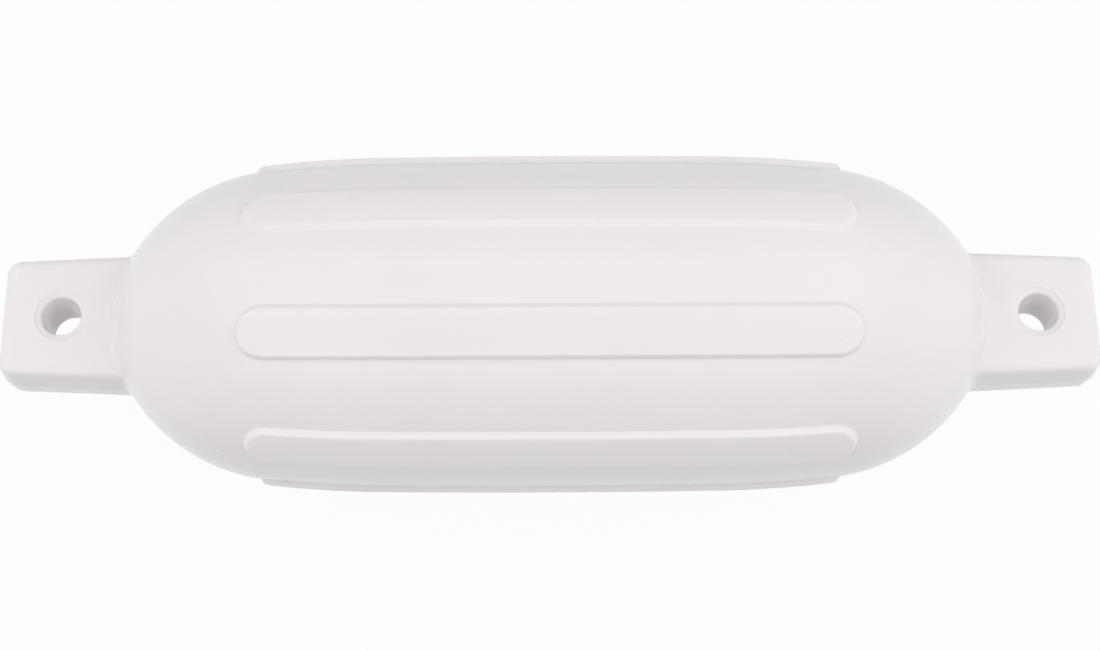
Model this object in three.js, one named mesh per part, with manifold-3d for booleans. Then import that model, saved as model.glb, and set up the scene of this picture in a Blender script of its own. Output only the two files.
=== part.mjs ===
// A boat fender, moulded in one piece from soft vinyl: a round body with domed ends and eight raised
// ribs along it, and a thick rectangular eye at each end for the mooring line. A small rubber valve
// for inflating it sits flush in the underside of one dome.
// X runs along the length and Z is up, square to the flat faces of the eyes. The fender lies on its
// underside, between two ribs, with the origin on the ground below its middle. Sizes are millimetres.

import * as THREE from "three";
import { mergeVertices } from "three/addons/utils/BufferGeometryUtils.js";
import Module from "manifold-3d";

const wasm = await Module();
wasm.setup();

// Round body: a barrel with a slight crown, a haunch, a shoulder and a nose, as arcs that run into one
// another. An angle is how far the skin has turned inwards where the next arc begins, in degrees.
const BODY_RADIUS = 104; // at mid-length, between the ribs
const BARREL_LENGTH = 212;
const BARREL_CROWN_RADIUS = 8400;
const HAUNCH_RADIUS = 722;
const SHOULDER_START_ANGLE = 6.6;
const NOSE_START_ANGLE = 58;
const NOSE_RADIUS = 83.6;

// Ribs: round-ended pads that follow the barrel
const RIB_COUNT = 8;
const RIB_LENGTH = 373; // at the foot
const RIB_WIDTH = 33.1; // at the foot
const RIB_HEIGHT = 3.4;
const RIB_WALL_RUN = 2.9; // how far each wall leans in between its foot and its top
const RIB_EDGE_RADIUS = 1.6;
const RIB_ROOT = 3; // how deep the rib's foot is let into the body

// Eyes: a tapered slab with rounded edges at each end, blended into the dome and pierced along Z
const TAB_REACH = 69; // from the crown of the dome to the end of the tab
const TAB_TIP_WIDTH = 78.8; // at the parting plane, halfway through the thickness
const TAB_TAPER_ANGLE = 2.6; // on each side, in degrees
const TAB_DRAFT_ANGLE = 5.5; // of every wall away from the parting plane, in degrees
const TAB_THICKNESS = 40.5;
const TAB_EDGE_RADIUS = 6;
const TAB_CORNER_RADIUS = 10;
const TAB_BLEND_RADIUS = 9;
const TAB_BLEND_ROOT = 2; // how far the blend runs on below the dome's skin
const TAB_ROOT = 40; // how deep the tab's root is let into the dome
const EYE_DIAMETER = 25;
const EYE_FROM_TIP = 38.7;
const EYE_DRAFT = 0.4; // how much smaller the eye's radius is halfway through
const EYE_RIM_DIAMETER = 32.4;
const EYE_RIM_WIDTH = 2.9;
const EYE_RIM_DEPTH = 0.9;
const EYE_MOUTH_DEPTH = 2.6; // where the rounded mouth has become the straight bore

// Inflation valve: a soft stepped plug, let into the skin with a small clearance all round
const VALVE_FROM_CROWN = 44; // along X, from the crown of the dome to the valve's centre
const VALVE_HEAD_DIAMETER = 17;
const VALVE_HEAD_THICKNESS = 2.6;
const VALVE_STEM_DIAMETER = 10.5;
const VALVE_LENGTH = 13;
const VALVE_RING_WIDTH = 1.2;
const VALVE_FACE_DEPTH = 0.6; // of the valve's face inside its ring
const VALVE_FUNNEL_DIAMETER = 6.6; // of the shallow funnel that leads into the needle hole
const VALVE_FUNNEL_DEPTH = 1.2;
const VALVE_NEEDLE_DIAMETER = 2.2;
const VALVE_NEEDLE_DEPTH = 5;
const VALVE_CLEARANCE = 0.3;

// How finely the curved faces are divided
const BODY_SIDES = 64;
const BARREL_STEPS = 2;
const HAUNCH_STEPS = 3;
const SHOULDER_STEPS = 9;
const NOSE_STEPS = 5;
const RIB_END_STEPS = 5;
const RIB_TOP_STRIPS = 3;
const RIB_EDGE_STEPS = 2;
const TAB_FACE_STEPS = 6;
const TAB_WALL_STEPS = 2;
const TAB_EDGE_STEPS = 3;
const TAB_BLEND_STEPS = 4;
const TAB_TIP_STEPS = 5;
const EYE_SIDES = 36;
const VALVE_SIDES = 24;
const BLEND_PASSES = 4; // how often the place of the rolling ball is worked out anew
const OVERCUT = 2; // how far a cutting shape runs past the face that it cuts

const vinyl = new THREE.MeshStandardMaterial({ color: 0xebe7eb, roughness: 0.25, metalness: 0 });
const rubber = new THREE.MeshStandardMaterial({ color: 0xd6d2d4, roughness: 0.6, metalness: 0 });

// Solids and meshes

// A closed geometry as a solid that can be joined and cut.
function toSolid(geometry) {
  const bare = geometry.clone();
  bare.deleteAttribute("normal");
  bare.deleteAttribute("uv");
  const merged = mergeVertices(bare, 1e-4);
  const index = merged.index.array;
  const triVerts = [];
  for (let i = 0; i < index.length; i += 3) {
    const [a, b, c] = index.subarray(i, i + 3);
    if (a !== b && b !== c && c !== a) triVerts.push(a, b, c);
  }
  return new wasm.Manifold(
    new wasm.Mesh({
      numProp: 3,
      vertProperties: merged.attributes.position.array,
      triVerts: new Uint32Array(triVerts),
    }),
  );
}

function toMesh(name, solid, material) {
  const { vertProperties, triVerts } = solid.getMesh();
  const geometry = new THREE.BufferGeometry();
  geometry.setAttribute("position", new THREE.BufferAttribute(vertProperties, 3));
  geometry.setIndex(new THREE.BufferAttribute(triVerts, 1));
  geometry.computeVertexNormals();
  const mesh = new THREE.Mesh(geometry, material);
  mesh.name = name;
  return mesh;
}

// The bands of triangles that join each ring of points to the next.
function bandRings(rings) {
  const count = rings[0].length;
  const triangles = [];
  for (let ring = 0; ring + 1 < rings.length; ring++) {
    for (let i = 0; i < count; i++) {
      const next = (i + 1) % count;
      const [a, b] = [ring * count + i, ring * count + next];
      const [c, d] = [a + count, b + count];
      triangles.push([a, b, d], [a, d, c]);
    }
  }
  return triangles;
}

// Profile of the body

const degrees = THREE.MathUtils.degToRad;
const crownEnd = Math.asin(BARREL_LENGTH / 2 / BARREL_CROWN_RADIUS);
const shoulderStart = degrees(SHOULDER_START_ANGLE);
const noseStart = degrees(NOSE_START_ANGLE);

// An arc that starts where the last one ends and faces the same way there. Each has its centre at x
// along the body and r out from the axis, and faces straight out from the axis at an angle of 0.
function nextArc(last, radius, end) {
  const shift = last.radius - radius;
  return {
    x: last.x + shift * Math.sin(last.end),
    r: last.r + shift * Math.cos(last.end),
    radius,
    end,
  };
}

const crown = {
  x: 0,
  r: BODY_RADIUS - BARREL_CROWN_RADIUS,
  radius: BARREL_CROWN_RADIUS,
  end: crownEnd,
};
const haunch = nextArc(crown, HAUNCH_RADIUS, shoulderStart);
const haunchEndRadius = haunch.r + haunch.radius * Math.cos(shoulderStart);
// The shoulder's radius is the one that puts the middle of the nose's arc on the axis.
const shoulderRadius =
  (haunchEndRadius - NOSE_RADIUS * Math.cos(noseStart)) /
  (Math.cos(shoulderStart) - Math.cos(noseStart));
const shoulder = nextArc(haunch, shoulderRadius, noseStart);
const nose = nextArc(shoulder, NOSE_RADIUS, Math.PI / 2);
const profileArcs = [crown, haunch, shoulder, nose];
const domeCrown = nose.x + nose.radius;

// The point at an angle on the profile, raised above the skin by a height.
function profilePoint(angle, height = 0) {
  const arc = profileArcs.find(({ end }) => angle <= end) ?? nose;
  const radius = arc.radius + height;
  return { x: arc.x + radius * Math.sin(angle), r: arc.r + radius * Math.cos(angle) };
}

// The skin's angle at a place along the body.
function angleAtLength(x) {
  const arc = profileArcs.find(({ end }) => x <= profilePoint(end).x) ?? nose;
  return Math.asin((x - arc.x) / arc.radius);
}

// The angle at which the skin, raised by a height, is at a distance from the axis.
function angleAtRadius(r, height) {
  const arc = profileArcs.find(({ end }) => r >= profilePoint(end, height).r) ?? nose;
  return Math.acos((r - arc.r) / (arc.radius + height));
}

function steps(from, to, count) {
  return Array.from({ length: count }, (_, i) => from + ((to - from) * (i + 1)) / count);
}

// Where the half profile is divided, from beside mid-length to the crown of the dome.
const profileAngles = [
  ...steps(0, crownEnd, BARREL_STEPS),
  ...steps(crownEnd, shoulderStart, HAUNCH_STEPS),
  ...steps(shoulderStart, noseStart, SHOULDER_STEPS),
  ...steps(noseStart, Math.PI / 2, NOSE_STEPS),
];

function makeBody() {
  const half = profileAngles.map((angle) => profilePoint(angle));
  half.at(-1).r = 0;
  const far = half.map(({ x, r }) => new THREE.Vector2(r, -x)).reverse();
  const near = half.map(({ x, r }) => new THREE.Vector2(r, x));
  const outline = [...far, new THREE.Vector2(BODY_RADIUS, 0), ...near];
  return new THREE.LatheGeometry(outline, BODY_SIDES).rotateZ(-Math.PI / 2);
}

// Ribs

// A point of a rib, at a place along the body and a distance round it from the rib's middle.
function ribPoint(along, around, height, middle) {
  const angle = angleAtLength(Math.abs(along));
  const foot = profilePoint(angle);
  const { x, r } = profilePoint(angle, height);
  const turn = middle + around / foot.r;
  return new THREE.Vector3(Math.sign(along) * x, r * Math.cos(turn), r * Math.sin(turn));
}

// One side of a rib's outline, set in from the foot by an inset: along and half width from end to end.
function ribOutline(inset) {
  const straight = (RIB_LENGTH - RIB_WIDTH) / 2;
  const end = RIB_WIDTH / 2 - inset;
  const turns = steps(0, Math.PI / 2, RIB_END_STEPS);
  const nearEnd = [0, ...turns].map((a) => [-straight - end * Math.cos(a), end * Math.sin(a)]);
  const divided = profileAngles.map((angle) => profilePoint(angle).x).filter((x) => x < straight);
  const middle = [...divided.map((x) => -x).reverse(), 0, ...divided, straight].map((x) => [x, end]);
  const farEnd = turns.map((a) => [straight + end * Math.sin(a), end * Math.cos(a)]);
  farEnd.at(-1)[1] = 0;
  return [...nearEnd, ...middle, ...farEnd];
}

// The heights of a rib's wall, from its hidden root up its slope and over its rounded edge.
function ribLevels() {
  const slope = Math.atan2(RIB_HEIGHT, RIB_WALL_RUN);
  const edgeMiddle = RIB_WALL_RUN + RIB_EDGE_RADIUS * Math.tan(slope / 2);
  const edge = [slope, ...steps(slope, 0, RIB_EDGE_STEPS)].map((a) => ({
    inset: edgeMiddle - RIB_EDGE_RADIUS * Math.sin(a),
    height: RIB_HEIGHT - RIB_EDGE_RADIUS * (1 - Math.cos(a)),
  }));
  return [{ inset: -RIB_ROOT / Math.tan(slope), height: -RIB_ROOT }, ...edge];
}

// Closes a rib across its outline with strips that run its whole length, facing outwards. The points
// of a ring go along one side and back along the other, and inner holds the points between the strips.
function ribCap(ring, ringSize, inner, strips) {
  const rows = ringSize / 2 - 1;
  const at = (i, strip) => {
    if (i === 0 || i > rows || strip === 0) return ring + i;
    return strip === strips ? ring + ringSize - i : inner + (i - 1) * (strips - 1) + strip - 1;
  };
  const triangles = [];
  for (let strip = 0; strip < strips; strip++) {
    for (let i = 0; i <= rows; i++) {
      const [a, b] = [at(i, strip), at(i, strip + 1)];
      const [c, d] = [at(i + 1, strip), at(i + 1, strip + 1)];
      if (a !== b) triangles.push([a, c, b]);
      if (c !== d) triangles.push([b, c, d]);
    }
  }
  return triangles;
}

function makeRib(middle) {
  const rings = ribLevels().map(({ inset, height }) => {
    const side = ribOutline(inset);
    const back = side.slice(1, -1).reverse();
    return [
      ...side.map(([along, half]) => ribPoint(along, half, height, middle)),
      ...back.map(([along, half]) => ribPoint(along, -half, height, middle)),
    ];
  });
  const topSide = ribOutline(ribLevels().at(-1).inset).slice(1, -1);
  const inner = topSide.flatMap(([along, half]) =>
    steps(half, -half, RIB_TOP_STRIPS)
      .slice(0, -1)
      .map((around) => ribPoint(along, around, RIB_HEIGHT, middle)),
  );
  const ringSize = rings[0].length;
  const ringPoints = rings.flat();
  const root = ribCap(0, ringSize, 0, 1).map(([a, b, c]) => [a, c, b]);
  const top = ribCap(ringPoints.length - ringSize, ringSize, ringPoints.length, RIB_TOP_STRIPS);
  const geometry = new THREE.BufferGeometry().setFromPoints([...ringPoints, ...inner]);
  return geometry.setIndex([...bandRings(rings), ...root, ...top].flat());
}

// Eyes

const tabEnd = domeCrown + TAB_REACH;
const tabDraft = degrees(TAB_DRAFT_ANGLE);
const tabEdgeHeight = TAB_THICKNESS / 2 - TAB_EDGE_RADIUS;
const tabEdgeMiddle = tabEdgeHeight * Math.tan(tabDraft) + TAB_EDGE_RADIUS / Math.cos(tabDraft);

function tabHalfWidth(x) {
  return TAB_TIP_WIDTH / 2 + (tabEnd - x) * Math.tan(degrees(TAB_TAPER_ANGLE));
}

// The tab's wall from the parting plane at its middle up to its face, as far as an inset allows: each
// level's height, how far it lies inside the outline at the parting plane, and the way that it faces.
function tabLevels(allowed) {
  const wallEnd = tabEdgeMiddle - TAB_EDGE_RADIUS * Math.cos(tabDraft);
  const wall = [0, ...steps(0, Math.min(wallEnd, allowed), TAB_WALL_STEPS)];
  const least = (tabEdgeMiddle - allowed) / TAB_EDGE_RADIUS;
  const top = Math.acos(THREE.MathUtils.clamp(least, 0, Math.cos(tabDraft)));
  return [
    ...wall.map((inset) => ({ inset, height: inset / Math.tan(tabDraft), facing: 0 })),
    ...steps(tabDraft, top, TAB_EDGE_STEPS).map((facing) => ({
      inset: Math.min(tabEdgeMiddle - TAB_EDGE_RADIUS * Math.cos(facing), allowed),
      height: tabEdgeHeight + TAB_EDGE_RADIUS * Math.sin(facing),
      facing,
    })),
  ];
}

// Points round the tab's section at a place along X, each with the way that it faces across X. The
// outline is rounded at the tab's end, and each level above the parting plane lies parallel inside it.
function tabSection(x) {
  const left = tabEnd - x;
  const toCorner = Math.max(TAB_CORNER_RADIUS - left, 0);
  const cornerMiddle = tabHalfWidth(x) - TAB_CORNER_RADIUS;
  const levels = tabLevels(Math.max(left, 0));
  const reached = left < tabEdgeMiddle - TAB_EDGE_RADIUS * Math.cos(tabDraft);
  const corner = levels.map(({ inset, height, facing }) => {
    const radius = Math.sqrt(Math.max((TAB_CORNER_RADIUS - inset) ** 2 - toCorner ** 2, 0));
    const z = reached ? Math.min(height, left / Math.tan(tabDraft)) : height;
    return [cornerMiddle + radius, z, Math.cos(facing), Math.sin(facing)];
  });
  const turned = (y, z, list) =>
    list.map((c) => ({
      point: new THREE.Vector2(c[0] * y, c[1] * z),
      normal: new THREE.Vector2(c[2] * y, c[3] * z),
    }));
  const back = [...corner].reverse();
  const across = (from, to) =>
    steps(0, 1, TAB_FACE_STEPS)
      .slice(0, -1)
      .map((t) => ({ point: from.point.clone().lerp(to.point, t), normal: from.normal }));
  const nearTop = turned(1, 1, corner);
  const farTop = turned(-1, 1, back);
  const farUnder = turned(-1, -1, corner).slice(1);
  const nearUnder = turned(1, -1, back).slice(0, -1);
  return [
    ...nearTop,
    ...across(nearTop.at(-1), farTop[0]),
    ...farTop,
    ...farUnder,
    ...across(farUnder.at(-1), nearUnder[0]),
    ...nearUnder,
  ];
}

// The blend between tab and dome: the arc of a ball that rolls in the corner and touches both.
function tabBlend() {
  return tabSection(domeCrown).map(({ normal }, i) => {
    let x = domeCrown;
    let centre;
    let angle;
    for (let pass = 0; pass < BLEND_PASSES; pass++) {
      centre = tabSection(x)[i].point.clone().addScaledVector(normal, TAB_BLEND_RADIUS);
      angle = angleAtRadius(centre.length(), TAB_BLEND_RADIUS);
      x = profilePoint(angle, TAB_BLEND_RADIUS).x;
    }
    const lean = Math.abs(normal.x) * Math.sin(degrees(TAB_TAPER_ANGLE));
    const toWall = new THREE.Vector3(-lean, -normal.x, -normal.y).normalize();
    const out = centre.clone().normalize().multiplyScalar(Math.cos(angle));
    const toDome = new THREE.Vector3(-Math.sin(angle), -out.x, -out.y);
    return { centre: new THREE.Vector3(x, centre.x, centre.y), toWall, toDome };
  });
}

function makeTab() {
  const ringAt = (x) => tabSection(x).map(({ point }) => new THREE.Vector3(x, point.x, point.y));
  const blend = tabBlend();
  const blendRings = [0, ...steps(0, 1, TAB_BLEND_STEPS)].map((t) =>
    blend.map(({ centre, toWall, toDome }) => {
      const spread = toDome.angleTo(toWall);
      const way = toDome.clone().multiplyScalar(Math.sin((1 - t) * spread));
      way.addScaledVector(toWall, Math.sin(t * spread)).divideScalar(Math.sin(spread));
      return centre.clone().addScaledVector(way, TAB_BLEND_RADIUS);
    }),
  );
  // Below the skin, the blend runs on towards the inside of the dome.
  const sunk = blend.map(({ centre, toDome }) =>
    centre.clone().addScaledVector(toDome, TAB_BLEND_RADIUS + TAB_BLEND_ROOT),
  );
  // The last ring is the straight crease where the two halves of the end wall meet.
  const tipRings = [0, ...steps(0, Math.PI / 2, TAB_TIP_STEPS)].map((turn) =>
    ringAt(tabEnd - TAB_CORNER_RADIUS * (1 - Math.sin(turn))),
  );
  const rings = [ringAt(domeCrown - TAB_ROOT), sunk, ...blendRings, ...tipRings];
  const rootCap = sunk.slice(2).map((_, i) => [0, i + 2, i + 1]);
  const geometry = new THREE.BufferGeometry().setFromPoints(rings.flat());
  return geometry.setIndex([...bandRings(rings), ...rootCap].flat());
}

// The cutter for the eye: a bore that narrows a little to its middle, with a dished rim at each face.
function makeEyeCutter() {
  const face = TAB_THICKNESS / 2;
  const bore = EYE_DIAMETER / 2;
  const rim = EYE_RIM_DIAMETER / 2;
  const lean = EYE_RIM_WIDTH / EYE_RIM_DEPTH;
  const half = [
    [bore, face - EYE_MOUTH_DEPTH],
    [rim - EYE_RIM_WIDTH, face - EYE_RIM_DEPTH],
    [rim + OVERCUT * lean, face + OVERCUT],
    [0, face + OVERCUT],
  ];
  const lower = half.map(([r, z]) => new THREE.Vector2(r, -z)).reverse();
  const upper = half.map(([r, z]) => new THREE.Vector2(r, z));
  const outline = [...lower, new THREE.Vector2(bore - EYE_DRAFT, 0), ...upper];
  const geometry = new THREE.LatheGeometry(outline, EYE_SIDES).rotateX(Math.PI / 2);
  return geometry.translate(tabEnd - EYE_FROM_TIP, 0, 0);
}

// Valve

// A stepped plug about +Y whose head follows the dome, grown by a clearance to cut its pocket.
function valveProfile(clearance) {
  const head = VALVE_HEAD_DIAMETER / 2 + clearance;
  const stem = VALVE_STEM_DIAMETER / 2 + clearance;
  return [
    [0, -VALVE_LENGTH - clearance],
    [stem, -VALVE_LENGTH - clearance],
    [stem, -VALVE_HEAD_THICKNESS - clearance],
    [head, -VALVE_HEAD_THICKNESS - clearance],
  ];
}

// How far the dome's skin has dropped at a distance from the valve's middle.
function domeDrop(distance) {
  return NOSE_RADIUS - Math.sqrt(NOSE_RADIUS ** 2 - distance ** 2);
}

function makeValvePlug() {
  const head = VALVE_HEAD_DIAMETER / 2;
  const ring = head - VALVE_RING_WIDTH;
  const outline = [
    ...valveProfile(0),
    [head, -domeDrop(head)],
    [ring, -domeDrop(ring)],
    [ring, -domeDrop(ring) - VALVE_FACE_DEPTH],
    [VALVE_FUNNEL_DIAMETER / 2, -VALVE_FACE_DEPTH],
    [VALVE_NEEDLE_DIAMETER / 2, -VALVE_FUNNEL_DEPTH],
    [0, -VALVE_NEEDLE_DEPTH],
  ].map(([r, y]) => new THREE.Vector2(r, y));
  return new THREE.LatheGeometry(outline, VALVE_SIDES);
}

function makeValvePocket() {
  const head = VALVE_HEAD_DIAMETER / 2 + VALVE_CLEARANCE;
  const outline = [...valveProfile(VALVE_CLEARANCE), [head, OVERCUT], [0, OVERCUT]];
  return new THREE.LatheGeometry(
    outline.map(([r, y]) => new THREE.Vector2(r, y)),
    VALVE_SIDES,
  );
}

// Turns a shape about +Y to stand on the underside of the dome, square to the skin.
function seatValve(geometry) {
  const angle = angleAtLength(domeCrown - VALVE_FROM_CROWN);
  const { x, r } = profilePoint(angle);
  return geometry
    .rotateX(-Math.PI / 2)
    .rotateY(-angle)
    .translate(x, 0, -r);
}

// Assembly

function makeFender() {
  let solid = toSolid(makeBody());
  for (let rib = 0; rib < RIB_COUNT; rib++) {
    solid = solid.add(toSolid(makeRib(((rib + 0.5) * 2 * Math.PI) / RIB_COUNT)));
  }
  for (const turn of [0, Math.PI]) {
    solid = solid.add(toSolid(makeTab().rotateZ(turn)));
    solid = solid.subtract(toSolid(makeEyeCutter().rotateZ(turn)));
  }
  return solid.subtract(toSolid(seatValve(makeValvePocket())));
}

const fender = new THREE.Group();
fender.position.z = BODY_RADIUS;
fender.add(toMesh("fender_body", makeFender(), vinyl));
fender.add(toMesh("inflation_valve", toSolid(seatValve(makeValvePlug())), rubber));

export default fender;
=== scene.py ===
"""The looks of a boat fender: its moulded vinyl skin, its rubber valve, and a plain studio.

Every size is in millimetres, measured from the middle of the fender's axis, with X along its length
and Z up. A finished piece is scaled to metres and lifted to lie on the ground.
"""

import logging
import math
from contextlib import contextmanager
from dataclasses import dataclass, field
from enum import Enum
from functools import cached_property
from typing import Callable, Iterator

import bmesh
import bpy
from mathutils import Matrix, Vector


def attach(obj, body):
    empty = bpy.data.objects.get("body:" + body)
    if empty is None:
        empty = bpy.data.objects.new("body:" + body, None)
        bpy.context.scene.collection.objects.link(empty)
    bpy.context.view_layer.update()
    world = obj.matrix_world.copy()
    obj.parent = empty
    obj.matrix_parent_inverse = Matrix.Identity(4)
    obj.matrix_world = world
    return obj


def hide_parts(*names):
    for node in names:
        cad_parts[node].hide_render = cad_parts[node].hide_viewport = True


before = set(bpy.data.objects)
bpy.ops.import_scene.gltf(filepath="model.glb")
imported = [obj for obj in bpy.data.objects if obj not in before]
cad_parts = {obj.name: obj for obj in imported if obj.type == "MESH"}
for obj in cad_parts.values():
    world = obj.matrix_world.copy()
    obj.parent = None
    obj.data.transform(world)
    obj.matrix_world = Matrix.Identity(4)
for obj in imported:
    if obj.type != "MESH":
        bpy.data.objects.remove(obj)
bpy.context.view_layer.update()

LOG = logging.getLogger("fender")
METRES = 0.001
WELD = 0.01
RING_STEP = 0.015  # how far apart the rings of an inset lie while a piece is still laid out flat
NEAR = 0.1  # how near a laid-out face's middle is to a level that it lies on
CLOUD_CLIP = (0.35, 0.7)  # the part of a noise pattern's range that soft clouds use
POLISH_CLIP = (0.3, 0.7)  # the part that the change of gloss uses


class Side(Enum):
    """The end of the fender that a dome closes."""

    LEFT = -1
    RIGHT = 1


# Modelling by hand


def pick_only(piece: bpy.types.Object) -> None:
    """Selects a piece alone and makes it active."""
    bpy.ops.object.select_all(action="DESELECT")
    piece.select_set(True)
    bpy.context.view_layer.objects.active = piece


@contextmanager
def edit_mode(piece: bpy.types.Object, select: str = "FACE") -> Iterator[None]:
    """Opens a piece in edit mode with nothing selected, and closes it again.

    Args:
        piece: The piece to shape.
        select: What is selected in edit mode: VERT, EDGE or FACE.
    """
    pick_only(piece)
    bpy.ops.object.mode_set(mode="EDIT")
    bpy.ops.mesh.select_mode(type=select)
    bpy.ops.mesh.select_all(action="DESELECT")
    yield
    bpy.ops.object.mode_set(mode="OBJECT")


def select_faces(piece: bpy.types.Object, wanted: Callable[[Vector], bool]) -> None:
    """Selects the faces whose middle passes a test, in edit mode.

    Args:
        piece: The piece that is in edit mode.
        wanted: Says whether a face with its middle at a place is selected.
    """
    mesh = bmesh.from_edit_mesh(piece.data)
    for face in mesh.faces:
        face.select_set(wanted(face.calc_center_median()))
    bmesh.update_edit_mesh(piece.data)


def select_open_edge() -> None:
    """Selects the open edges of the mesh that is in edit mode."""
    off = ("extend", "use_wire", "use_multi_face", "use_non_contiguous", "use_verts")
    bpy.ops.mesh.select_non_manifold(use_boundary=True, **dict.fromkeys(off, False))


def inset_rings(count: int) -> None:
    """Insets the selected faces over and over, which leaves rings round them."""
    for _ in range(count):
        bpy.ops.mesh.inset(thickness=RING_STEP, use_boundary=True, use_even_offset=True)


def lay_out_grid(name: str, columns: int, rows: int) -> bpy.types.Object:
    """Adds a flat grid of unit squares about the origin.

    Args:
        name: The name of the new piece.
        columns: The squares along X.
        rows: The squares along Y.

    Returns:
        The grid.
    """
    bpy.ops.mesh.primitive_grid_add(x_subdivisions=columns, y_subdivisions=rows, size=1)
    grid = bpy.context.active_object
    grid.name = name
    with edit_mode(grid):
        bpy.ops.mesh.select_all(action="SELECT")
        bpy.ops.transform.resize(value=(columns, rows, 1))
    return grid


def set_points(piece: bpy.types.Object, place: Callable[[Vector], Vector]) -> None:
    """Moves each point of a laid-out piece to its place on the real one."""
    for vertex in piece.data.vertices:
        vertex.co = place(vertex.co)
    piece.data.update()


def weld(piece: bpy.types.Object, distance: float = WELD) -> None:
    """Merges the points that meet and turns every face outwards."""
    with edit_mode(piece):
        bpy.ops.mesh.select_all(action="SELECT")
        bpy.ops.mesh.remove_doubles(threshold=distance)
        bpy.ops.mesh.normals_make_consistent(inside=False)


def join(name: str, pieces: list[bpy.types.Object]) -> bpy.types.Object:
    """Joins pieces into the first of them and names it."""
    bpy.ops.object.select_all(action="DESELECT")
    for piece in pieces:
        piece.select_set(True)
    bpy.context.view_layer.objects.active = pieces[0]
    bpy.ops.object.join()
    pieces[0].name = name
    pieces[0].data.name = name
    return pieces[0]


def stand_on_ground(piece: bpy.types.Object, axis_height: float) -> None:
    """Scales a finished piece to metres and lifts it from the fender's axis to its height."""
    piece.data.transform(Matrix.Scale(METRES, 4) @ Matrix.Translation((0, 0, axis_height)))
    piece.data.update()
    pick_only(piece)
    bpy.ops.object.shade_smooth()


# Arithmetic of the shapes


def mix(start: float, end: float, share: float) -> float:
    """The number that lies a share of the way from start to end."""
    return start + (end - start) * share


def steps(start: float, end: float, count: int) -> list[float]:
    """Evenly spaced numbers after start, up to and with end."""
    return [mix(start, end, (i + 1) / count) for i in range(count)]


def ease(share: float) -> float:
    """A share from 0 to 1, eased at both ends."""
    share = min(max(share, 0.0), 1.0)
    return share * share * (3 - 2 * share)


def ring_turn(across: float, up: float, half_across: float, half_up: float) -> float:
    """The direction of a point on a rectangle's outline once the rectangle is a circle.

    Args:
        across: The point's place along the first axis.
        up: Its place along the second axis.
        half_across: Half the rectangle's size along the first axis.
        half_up: Half its size along the second axis.

    Returns:
        The angle from the first axis, in radians.
    """
    quarter = math.pi / 4
    share_across, share_up = across / half_across, up / half_up
    if abs(share_across) >= abs(share_up):
        return share_up * quarter if across > 0 else math.pi - share_up * quarter
    turn = math.pi / 2 - share_across * quarter
    return turn if up > 0 else -turn


@dataclass(frozen=True)
class Ring:
    """One ring of points round an eye, a rib or a pocket.

    Attributes:
        size: Half the ring's width.
        level: Its height above the skin, below 0 where it is sunk.
        roundness: 1 for a circle, 0 for a rectangle.
    """

    size: float
    level: float = 0.0
    roundness: float = 1.0


@dataclass(frozen=True)
class Arc:
    """One arc of the half profile, about a centre beside or beyond the axis."""

    x: float
    r: float
    radius: float
    end: float

    def point(self, angle: float, height: float = 0.0) -> tuple[float, float]:
        """The place along the fender and the distance from its axis, at an angle on the arc."""
        reach = self.radius + height
        return self.x + reach * math.sin(angle), self.r + reach * math.cos(angle)

    def followed_by(self, radius: float, end: float) -> "Arc":
        """The arc that runs on from this one's end, facing the same way there."""
        shift = self.radius - radius
        x = self.x + shift * math.sin(self.end)
        return Arc(x, self.r + shift * math.cos(self.end), radius, end)


@dataclass(frozen=True)
class BodyProfile:
    """The round body's outline: a crowned barrel, a haunch, a shoulder and a nose."""

    radius: float = 104.0
    barrel_length: float = 212.0
    crown_radius: float = 8400.0
    haunch_radius: float = 722.0
    shoulder_start: float = math.radians(6.6)
    nose_start: float = math.radians(58)
    nose_radius: float = 83.6

    @cached_property
    def arcs(self) -> list[Arc]:
        """The profile's four arcs, from mid-length to the crown of the dome."""
        crown_end = math.asin(self.barrel_length / 2 / self.crown_radius)
        crown = Arc(0.0, self.radius - self.crown_radius, self.crown_radius, crown_end)
        haunch = crown.followed_by(self.haunch_radius, self.shoulder_start)
        haunch_end = haunch.point(self.shoulder_start)[1]
        shoulder_radius = (haunch_end - self.nose_radius * math.cos(self.nose_start)) / (
            math.cos(self.shoulder_start) - math.cos(self.nose_start)
        )
        shoulder = haunch.followed_by(shoulder_radius, self.nose_start)
        return [crown, haunch, shoulder, shoulder.followed_by(self.nose_radius, math.pi / 2)]

    @property
    def dome_crown(self) -> float:
        """Where the domes end, from mid-length."""
        return self.arcs[-1].x + self.nose_radius

    def point(self, angle: float, height: float = 0.0) -> tuple[float, float]:
        """The place and distance from the axis at an angle, raised above the skin."""
        arc = next((arc for arc in self.arcs if angle <= arc.end), self.arcs[-1])
        return arc.point(angle, height)

    def angle_at_length(self, x: float) -> float:
        """The skin's angle at a place along the body."""
        arc = next((arc for arc in self.arcs if x <= arc.point(arc.end)[0]), self.arcs[-1])
        return math.asin((x - arc.x) / arc.radius)

    def angle_at_radius(self, r: float, height: float = 0.0) -> float:
        """The angle at which the skin, raised by a height, is at a distance from the axis."""
        arcs = self.arcs
        arc = next((arc for arc in arcs if r >= arc.point(arc.end, height)[1]), arcs[-1])
        return math.acos(min((r - arc.r) / (arc.radius + height), 1.0))

    def on_skin(self, angle: float, turn: float, height: float = 0.0) -> Vector:
        """The point at an angle on the profile and a turn round the axis from +Y."""
        x, r = self.point(angle, height)
        return Vector((x, r * math.cos(turn), r * math.sin(turn)))


PROFILE = BodyProfile()


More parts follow.
